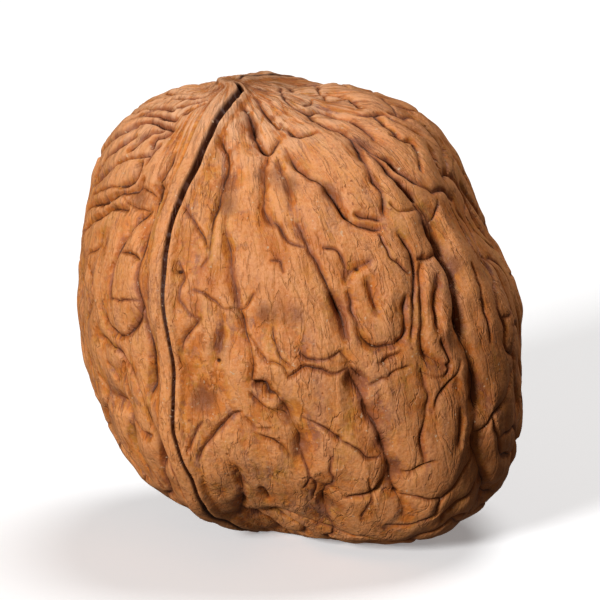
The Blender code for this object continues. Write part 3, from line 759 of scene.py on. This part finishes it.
def relief(points, lines, crack_share=1):
    """Height of the shell's relief at points on the plain skin, and how far off the nearest crack is."""
    furrows = cut_furrows(points, lines)
    side, _ = seam_distance(points)
    clear_of_seam = smooth_step(np.abs(side + KEEL_SHIFT / 2), *SEAM_CLEARANCE)
    hollows = HOLLOW_DEPTH * splats(points, HOLLOWS, HOLLOW_RADIUS)
    pits = PIT_DEPTH * splats(points, PITS, PIT_RADIUS)
    drop = furrows.depth(crack_share) + (hollows + pits)
    height = seam_relief(points) + tip_relief(points) - drop * clear_of_seam
    for index, (size, length) in enumerate(UNEVENNESS):
        height += size * waves(points, length, UNEVENNESS_SEED + index)
    fibres = barrel_places(points) * (1, 1, FIBRE_STRETCH)
    height += FIBRE_HEIGHT * waves(fibres, FIBRE_LENGTH, FIBRE_SEED)
    return height, furrows.crack + FAR_FROM_CRACKS * (1 - clear_of_seam)


def stand_flat(points):
    """Levels the underside round the foot, and lets nothing reach below it."""
    off_foot = np.linalg.norm(points[:, :2] - FOOT_CENTRE, axis=1)
    level = (1 - smooth_step(off_foot, FOOT_RADIUS, FOOT_EDGE)) * (points[:, 2] < 0)
    points[:, 2] += level * (-FOOT_DROP - points[:, 2])
    points[:, 2] = np.maximum(points[:, 2], -FOOT_DROP)
    return points


def mesh_points(mesh, name="co"):
    points = np.empty(3 * len(mesh.vertices))
    mesh.vertices.foreach_get(name, points)
    return points.reshape(-1, 3)


def set_points(mesh, points):
    mesh.vertices.foreach_set("co", points.ravel())
    mesh.update()


def thinned(piece):
    """The piece's mesh with its triangles gathered where the relief is."""
    thin = piece.modifiers.new("thin", "DECIMATE")
    thin.ratio = SHELL_TRIANGLES / len(piece.data.polygons)
    depsgraph = bpy.context.evaluated_depsgraph_get()
    mesh = bpy.data.meshes.new_from_object(piece.evaluated_get(depsgraph))
    piece.modifiers.remove(thin)
    return mesh


def fit_to_box(points, low, high):
    """Stretches the points by a hair so that they fill the given box."""
    own_low = points.min(axis=0)
    own_high = points.max(axis=0)
    return low + (points - own_low) / (own_high - own_low) * (high - low)


def dips(mesh, rounds):
    """How far each point lies below the mean of the points around it, in millimetres."""
    points = mesh_points(mesh)
    edges = np.empty(2 * len(mesh.edges), dtype=int)
    mesh.edges.foreach_get("vertices", edges)
    edges = edges.reshape(-1, 2)
    here = np.concatenate((edges[:, 0], edges[:, 1]))
    there = np.concatenate((edges[:, 1], edges[:, 0]))
    share = np.bincount(here, minlength=len(points))
    mean = points.copy()
    for _ in range(rounds):
        sums = [np.bincount(here, mean[there, axis], len(points)) for axis in range(3)]
        mean = (mean + np.stack(sums, axis=1) / share[:, None]) / 2
    return ((mean - points) * mesh_points(mesh, "normal")).sum(axis=1) / MM


def add_number(mesh, name, values):
    mesh.attributes.new(name, "FLOAT", "POINT").data.foreach_set("value", values.astype(np.float32))


def add_numbers(mesh, skin, crack):
    """Stores on the mesh what its material needs to know, with lengths in millimetres."""
    side, gape = seam_distance(skin)
    beside, along, up = from_core(skin)
    off_core = np.hypot(beside, along)
    add_number(mesh, "crack", crack)
    add_number(mesh, "seam", side / (1 + SEAM_GAPE_WIDTH * gape) / MM)
    add_number(mesh, "seam_open", smooth_step(off_core, *SEAM_START))
    # Where the painted highlight on the fine crests near the tip goes
    add_number(mesh, "tip", (1 - smooth_step(off_core, *TIP_PAINTED_HIGHLIGHT)) * (up > 0))
    add_number(mesh, "stem", (1 - smooth_step(off_core, *STEM_SCAR)) * (up < 0))
    # Stains, and painted shade where they lie in the hollows
    add_number(mesh, "stain_and_hollow_shade", splats(skin, STAINS_AND_HOLLOW_SHADE, STAIN_AND_SHADE_RADIUS))
    # Painted shade on the lower right side
    add_number(mesh, "painted_side_shade", splats(skin, RIGHT_SIDE_PAINTED_SHADE, RIGHT_SIDE_PAINTED_SHADE_RADIUS))
    add_number(mesh, "pit", splats(skin, PITS, PIT_RADIUS))
    add_number(mesh, "dip_fine", dips(mesh, DIP_ROUNDS[0]))
    add_number(mesh, "dip_broad", dips(mesh, DIP_ROUNDS[1]))
    fibres = mesh.attributes.new("fibre", "FLOAT_VECTOR", "POINT")
    fibres.data.foreach_set("vector", (barrel_places(skin) / MM).astype(np.float32).ravel())


def build_shell(low, high):
    """The finely furrowed shell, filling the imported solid's box."""
    bpy.ops.mesh.primitive_ico_sphere_add(subdivisions=SPHERE_LEVEL, radius=1)
    shell = bpy.context.object
    shell.name = "walnut_shell"
    lines = drawn_lines()
    lines += grown_lines(lines)
    skin = on_skin(drawn_in(on_skin(mesh_points(shell.data)), lines))
    height, _ = relief(skin, lines, THINNING_CRACK_SHARE)
    set_points(shell.data, skin + unit(skin) * height[:, None])
    shell.data = thinned(shell)
    shell.data.name = "walnut_shell"
    shell.data.shade_smooth()
    skin = on_skin(mesh_points(shell.data))
    height, crack = relief(skin, lines)
    points = stand_flat(skin + unit(skin) * height[:, None])
    set_points(shell.data, points)
    add_numbers(shell.data, skin, crack)
    set_points(shell.data, fit_to_box(points, low, high))
    return shell


def node(tree, kind, inputs=None, **settings):
    """Adds a shader node. Its inputs are set from numbers, or linked from other nodes' outputs."""
    made = tree.nodes.new("ShaderNode" + kind)
    for name, value in settings.items():
        setattr(made, name, value)
    for socket, value in (inputs or {}).items():
        if isinstance(value, bpy.types.NodeSocket):
            tree.links.new(value, made.inputs[socket])
        else:
            made.inputs[socket].default_value = value
    return made


def number(tree, name):
    return node(tree, "Attribute", attribute_name=name).outputs["Fac"]


def noise(tree, vector, scale, detail=3, roughness=0.55):
    inputs = {"Vector": vector, "Scale": scale, "Detail": detail, "Roughness": roughness}
    return node(tree, "TexNoise", inputs).outputs


def ramp(tree, value, low, high, start=0.0, end=1.0):
    """A smooth step from start to end as the value goes from low to high."""
    inputs = {0: value, 1: low, 2: high, 3: start, 4: end}
    return node(tree, "MapRange", inputs, interpolation_type="SMOOTHSTEP").outputs[0]


def maths(tree, operation, first, second=0.0):
    return node(tree, "Math", {0: first, 1: second}, operation=operation).outputs[0]


def scaled(tree, vector, factors):
    return node(tree, "VectorMath", {0: vector, 1: factors}, operation="MULTIPLY").outputs[0]


def product(tree, first, second):
    return maths(tree, "MULTIPLY", first, second)


def painted(tree, colour, layers):
    """The colour with layers painted over it, each a colour and its amount."""
    for over, amount in layers:
        inputs = {0: amount, 6: colour, 7: over}
        colour = node(tree, "Mix", inputs, data_type="RGBA").outputs[2]
    return colour


def warped(tree, vector, scale, size):
    """The vector shifted by noise of the given scale and size."""
    inputs = {0: noise(tree, vector, scale)["Color"], 1: (0.5, 0.5, 0.5)}
    shift = node(tree, "VectorMath", inputs, operation="SUBTRACT").outputs[0]
    inputs = {0: vector, 1: scaled(tree, shift, (size, size, size))}
    return node(tree, "VectorMath", inputs, operation="ADD").outputs[0]


def three_noises(tree, vector, scale, detail, roughness):
    """Three noises of one kind, named by the channels of a colour."""
    inputs = {"Color": noise(tree, vector, scale, detail, roughness)["Color"]}
    return node(tree, "SeparateColor", inputs).outputs


def crazing(tree, vector, scale, width):
    """Fine cracks, 1 at their middle, between cells of the given scale."""
    inputs = {"Vector": vector, "Scale": scale, "Randomness": 1.0}
    edge = node(tree, "TexVoronoi", inputs, feature="DISTANCE_TO_EDGE").outputs["Distance"]
    return ramp(tree, edge, 0.0, width, 1.0, 0.0)


def contours(tree, value):
    """Fine lines, 1 at their middle, where the value is a half."""
    off_line = maths(tree, "ABSOLUTE", maths(tree, "SUBTRACT", value, 0.5))
    return ramp(tree, off_line, 0.004, 0.03, 1.0, 0.0)


class Patterns:
    """What the shell's colour, gloss and bumps are made from: noises, with scales in repeats to
    the millimetre, and numbers that are stored on the mesh."""

    def __init__(self, tree):
        place = scaled(tree, node(tree, "TexCoord").outputs["Object"], (1 / MM, 1 / MM, 1 / MM))
        fibre = node(tree, "Attribute", attribute_name="fibre").outputs["Vector"]
        along = scaled(tree, warped(tree, fibre, 0.4, 1.6), (1, 1, 0.5))

        self.patches = noise(tree, place, 0.16, 3)["Fac"]
        self.mottle = noise(tree, warped(tree, along, 0.6, 1.0), 0.9, 5, 0.65)["Fac"]
        self.streaks = noise(tree, along, 2.2, 5, 0.65)["Fac"]
        self.grain = noise(tree, place, 4.5, 4, 0.65)["Fac"]
        self.speckle = noise(tree, place, 2.6, 2, 0.5)["Fac"]
        self.blotches = noise(tree, warped(tree, place, 1.2, 0.5), 1.7, 3, 0.6)["Fac"]
        self.lumps = noise(tree, warped(tree, along, 0.9, 0.6), 1.2, 3, 0.5)["Fac"]
        self.tints = three_noises(tree, warped(tree, along, 0.8, 1.0), 0.62, 4, 0.62)
        self.flecks = three_noises(tree, place, 1.5, 3, 0.6)
        self.hairlines = crazing(tree, along, 0.62, 0.05)
        ripples = noise(tree, warped(tree, along, 0.9, 0.8), 0.75, 3, 0.55)["Fac"]
        self.wrinkles = product(tree, contours(tree, ripples), ramp(tree, self.lumps, 0.44, 0.56))

        jagged = product(tree, maths(tree, "SUBTRACT", self.streaks, 0.5), CRACK_JAG)
        crack = maths(tree, "ADD", number(tree, "crack"), jagged)
        self.crack_dark = ramp(tree, crack, 0.28, 0.85, 0.88, 0.0)
        self.crack_shade = ramp(tree, crack, 0.6, 3.2, 1.0, 0.0)
        gap = ramp(tree, maths(tree, "ABSOLUTE", number(tree, "seam")), 0.11, 0.18, 1.0, 0.0)
        self.seam_dark = product(tree, gap, number(tree, "seam_open"))
        self.pit = ramp(tree, number(tree, "pit"), 0.35, 0.9)
        self.dip_fine = number(tree, "dip_fine")
        self.dip_broad = number(tree, "dip_broad")


def mottled_colour(tree, patterns):
    """The shell's own colour, mottled from russet to tan."""
    return painted(tree, RUSSET, (
        (TAN, ramp(tree, patterns.mottle, 0.38, 0.54)),
        (OCHRE, ramp(tree, patterns.tints["Red"], 0.5, 0.62, 0.0, 0.75)),
        (OLIVE, ramp(tree, patterns.tints["Blue"], 0.53, 0.64, 0.0, 0.6)),
        (MAUVE, ramp(tree, patterns.tints["Green"], 0.53, 0.64, 0.0, 0.85)),
        (RUSSET, ramp(tree, patterns.blotches, 0.5, 0.62, 0.0, 0.6)),
        (RIDGE, ramp(tree, patterns.blotches, 0.44, 0.34, 0.0, 0.6)),
        (MAUVE, ramp(tree, patterns.flecks["Red"], 0.53, 0.62, 0.0, 0.4)),
        (OLIVE, ramp(tree, patterns.flecks["Green"], 0.54, 0.62, 0.0, 0.35)),
        (RIDGE, ramp(tree, patterns.flecks["Blue"], 0.55, 0.64, 0.0, 0.45)),
        (UMBER, ramp(tree, patterns.streaks, 0.55, 0.75, 0.0, 0.3)),
        (RUSSET, ramp(tree, patterns.patches, 0.5, 0.66, 0.0, 0.5)),
    ))


def marked_and_shaded_colour(tree, patterns, colour):
    """The colour made paler on ridges, with a painted highlight on the fine crests near the tip, and
    darker in furrows, stains and pits, with painted shade in the hollows, in several of the stains and on
    the lower right side.
    """
    ridge = ramp(tree, patterns.dip_broad, 0.0, -0.2)
    ridge = product(tree, ridge, ramp(tree, patterns.grain, 0.3, 0.7, 0.3, 0.9))
    # Painted highlight: the fine crests near the tip made cream
    crest = product(tree, number(tree, "tip"), ramp(tree, patterns.dip_fine, 0.004, -0.02, 0.02, 0.7))
    crest = product(tree, crest, ramp(tree, patterns.mottle, 0.35, 0.6, 0.3, 1.0))
    mauve = product(tree, patterns.crack_shade, ramp(tree, patterns.patches, 0.42, 0.58, 0.1, 0.7))
    # Stains, partly painted shade in the hollows
    stain_and_hollow_shade = product(tree, number(tree, "stain_and_hollow_shade"), ramp(tree, patterns.mottle, 0.3, 0.6, 0.4, 1.0))
    # Painted shade on the lower right side, broken up by the mottle
    painted_side_shade = product(tree, number(tree, "painted_side_shade"), ramp(tree, patterns.mottle, 0.3, 0.6, 0.35, 0.55))
    return painted(tree, colour, (
        (RIDGE, ridge),
        # Painted highlight on the fine crests near the tip
        (CREAM, crest),
        (STEM_GREY, product(tree, number(tree, "stem"), 0.7)),
        (MAUVE, ramp(tree, mauve, 0.1, 1.0, 0.0, 0.8)),
        # Stains, partly painted shade in the hollows
        (STAIN_AND_SHADE_BROWN, ramp(tree, stain_and_hollow_shade, 0.1, 0.9, 0.0, 0.75)),
        # Painted shade in the broad hollows
        (UMBER, ramp(tree, patterns.dip_broad, 0.02, 0.28, 0.0, 0.38)),
        (UMBER, product(tree, patterns.crack_shade, 0.4)),
        (UMBER, product(tree, patterns.hairlines, ramp(tree, patterns.mottle, 0.5, 0.65, 0.0, 0.5))),
        (UMBER, product(tree, patterns.wrinkles, 0.35)),
        # Painted shade in the fine hollows
        (UMBER, ramp(tree, patterns.dip_fine, 0.012, 0.06, 0.0, 0.5)),
        # Painted shade on the lower right side
        (UMBER, painted_side_shade),
        (CREVICE, patterns.crack_dark),
        (SEAM_BLACK, maths(tree, "MAXIMUM", patterns.seam_dark, patterns.pit)),
        (SPECK, ramp(tree, patterns.speckle, 0.68, 0.76, 0.0, 0.7)),
        (UMBER, ramp(tree, patterns.speckle, 0.31, 0.24, 0.0, 0.7)),
    ))


def bumps(tree, patterns):
    """The height of relief too fine for the mesh, in millimetres."""
    height = 0.0
    for pattern, size in (
        (patterns.lumps, 0.25),
        (patterns.blotches, -0.10),
        (patterns.streaks, 0.09),
        (patterns.grain, 0.04),
        (patterns.hairlines, -0.03),
        (patterns.wrinkles, -0.07),
    ):
        height = maths(tree, "ADD", height, product(tree, pattern, size))
    return height


def shell_material():
    material = bpy.data.materials.new("walnut_shell")
    material.use_nodes = True
    tree = material.node_tree
    shader = tree.nodes["Principled BSDF"]
    patterns = Patterns(tree)
    colour = marked_and_shaded_colour(tree, patterns, mottled_colour(tree, patterns))
    tree.links.new(colour, shader.inputs["Base Color"])
    tree.links.new(ramp(tree, patterns.grain, 0.2, 0.8, *ROUGHNESS), shader.inputs["Roughness"])
    shader.inputs["Specular IOR Level"].default_value = GLOSS
    inputs = {"Height": bumps(tree, patterns), "Strength": BUMP_STRENGTH, "Distance": MM}
    tree.links.new(node(tree, "Bump", inputs).outputs[0], shader.inputs["Normal"])
    return material


def floor_material():
    material = bpy.data.materials.new("pale_floor")
    material.use_nodes = True
    shader = material.node_tree.nodes["Principled BSDF"]
    shader.inputs["Base Color"].default_value = FLOOR_COLOUR
    shader.inputs["Roughness"].default_value = FLOOR_ROUGHNESS
    shader.inputs["Specular IOR Level"].default_value = FLOOR_GLOSS
    shader.inputs["Emission Color"].default_value = FLOOR_COLOUR
    shader.inputs["Emission Strength"].default_value = FLOOR_GLOW
    return material


def build_floor():
    """A pale floor that throws no light back on the nut."""
    bpy.ops.mesh.primitive_circle_add(vertices=FLOOR_SIDES, radius=FLOOR_RADIUS, fill_type="NGON")
    floor = bpy.context.object
    floor.name = "floor"
    floor.data.materials.append(floor_material())
    floor.visible_diffuse = False
    floor.visible_glossy = False
    return floor


def aim(thing, place, target):
    """Puts a lamp or a camera in its place, facing the target."""
    thing.location = place
    thing.rotation_euler = (Vector(target) - Vector(place)).to_track_quat("-Z", "Y").to_euler()


def add_light(name, place, size, power, target):
    light = bpy.data.lights.new(name, "AREA")
    light.shape = "DISK"
    light.size = size
    light.energy = power
    lamp = bpy.data.objects.new(name, light)
    bpy.context.scene.collection.objects.link(lamp)
    aim(lamp, place, target)


def add_camera(middle):
    """A camera far in front of the nut, looking down by VIEW_RISE, that sees VIEW_SIZE of it."""
    camera = bpy.data.cameras.new("camera")
    camera.sensor_width = SENSOR_WIDTH / MM
    camera.lens = SENSOR_WIDTH / MM * CAMERA_DISTANCE / VIEW_SIZE
    camera.clip_start = NEAREST_SEEN
    holder = bpy.data.objects.new("camera", camera)
    bpy.context.scene.collection.objects.link(holder)
    aim(holder, middle + Vector(FRONT) * CAMERA_DISTANCE, middle)
    bpy.context.scene.camera = holder


def light_studio(middle):
    """Soft lamps on the middle of the nut, and a dim warm light from all sides."""
    world = bpy.data.worlds.new("studio")
    world.use_nodes = True
    background = world.node_tree.nodes["Background"]
    background.inputs["Color"].default_value = AMBIENT_COLOUR
    background.inputs["Strength"].default_value = AMBIENT_STRENGTH
    bpy.context.scene.world = world
    for name, place, size, power in LAMPS:
        add_light(name, place, size, power, middle)
    bpy.context.scene.view_settings.view_transform = "Standard"


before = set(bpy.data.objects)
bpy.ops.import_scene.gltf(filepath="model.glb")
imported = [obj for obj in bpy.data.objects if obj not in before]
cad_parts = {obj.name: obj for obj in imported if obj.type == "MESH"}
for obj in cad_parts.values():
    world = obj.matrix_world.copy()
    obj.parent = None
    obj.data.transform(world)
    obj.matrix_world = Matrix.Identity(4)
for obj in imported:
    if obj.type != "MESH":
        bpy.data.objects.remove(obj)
cad_low, cad_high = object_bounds()
shell = build_shell(np.array(cad_low), np.array(cad_high))
shell.data.materials.append(shell_material())
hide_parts("shell")
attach(shell, "root")

floor = build_floor()
middle = (cad_low + cad_high) / 2
add_camera(middle)
light_studio(middle)
